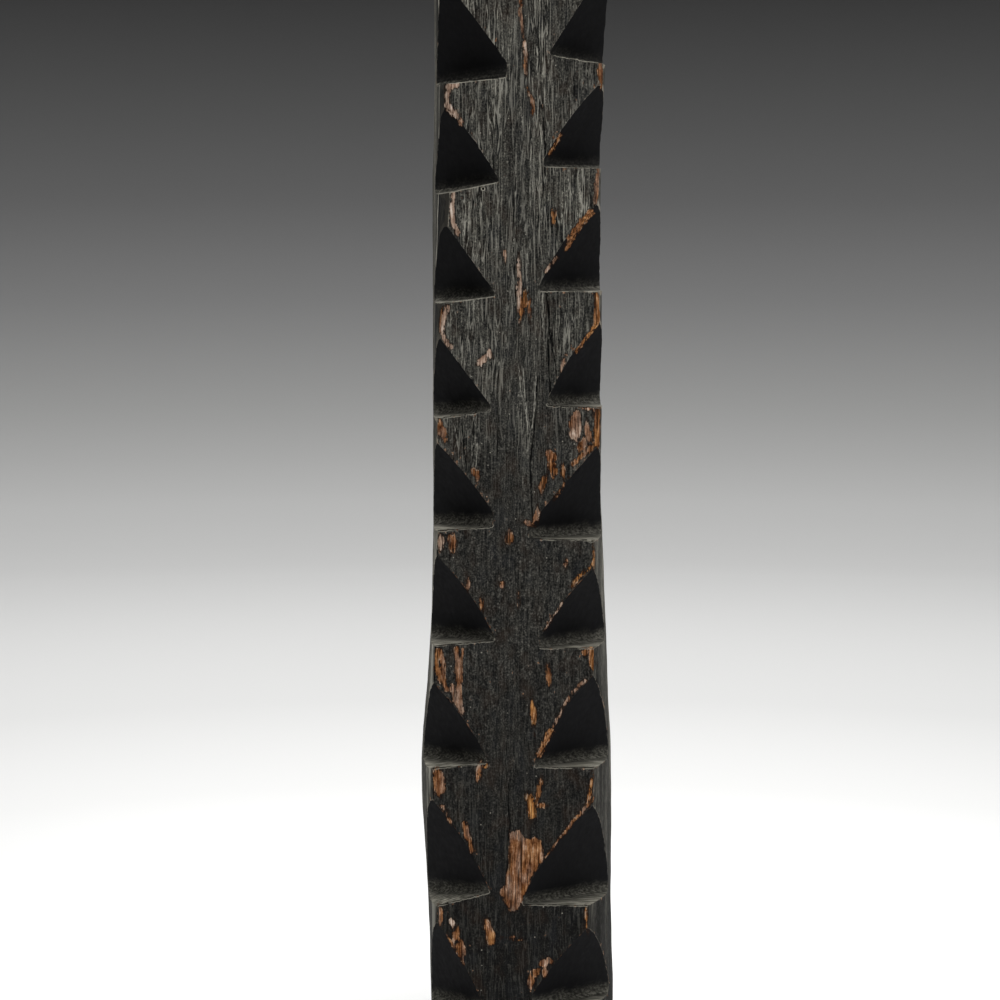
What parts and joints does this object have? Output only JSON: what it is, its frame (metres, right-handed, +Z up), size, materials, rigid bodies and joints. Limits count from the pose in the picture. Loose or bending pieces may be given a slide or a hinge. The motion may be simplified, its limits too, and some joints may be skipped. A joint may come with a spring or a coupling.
{
  "type": "carved house post",
  "caption": "Squared hardwood house post, dark with smoke, with a run of wedge notches carved into both front edges.",
  "frame": {"origin": "centre of the bounding box on the floor, under the square-sawn foot", "axes": "+Z runs up the post, the carved face looks towards -Y, +X is to the right as one faces it"},
  "size_m": [0.239, 0.18, 1.28],
  "materials": {
    "smoked_hardwood": "smoke-blackened hardwood, worn to bare red-brown wood in places, satin to matt"
  },
  "bodies": {
    "root": {"house_post": "smoked_hardwood"}
  },
  "joints": []
}
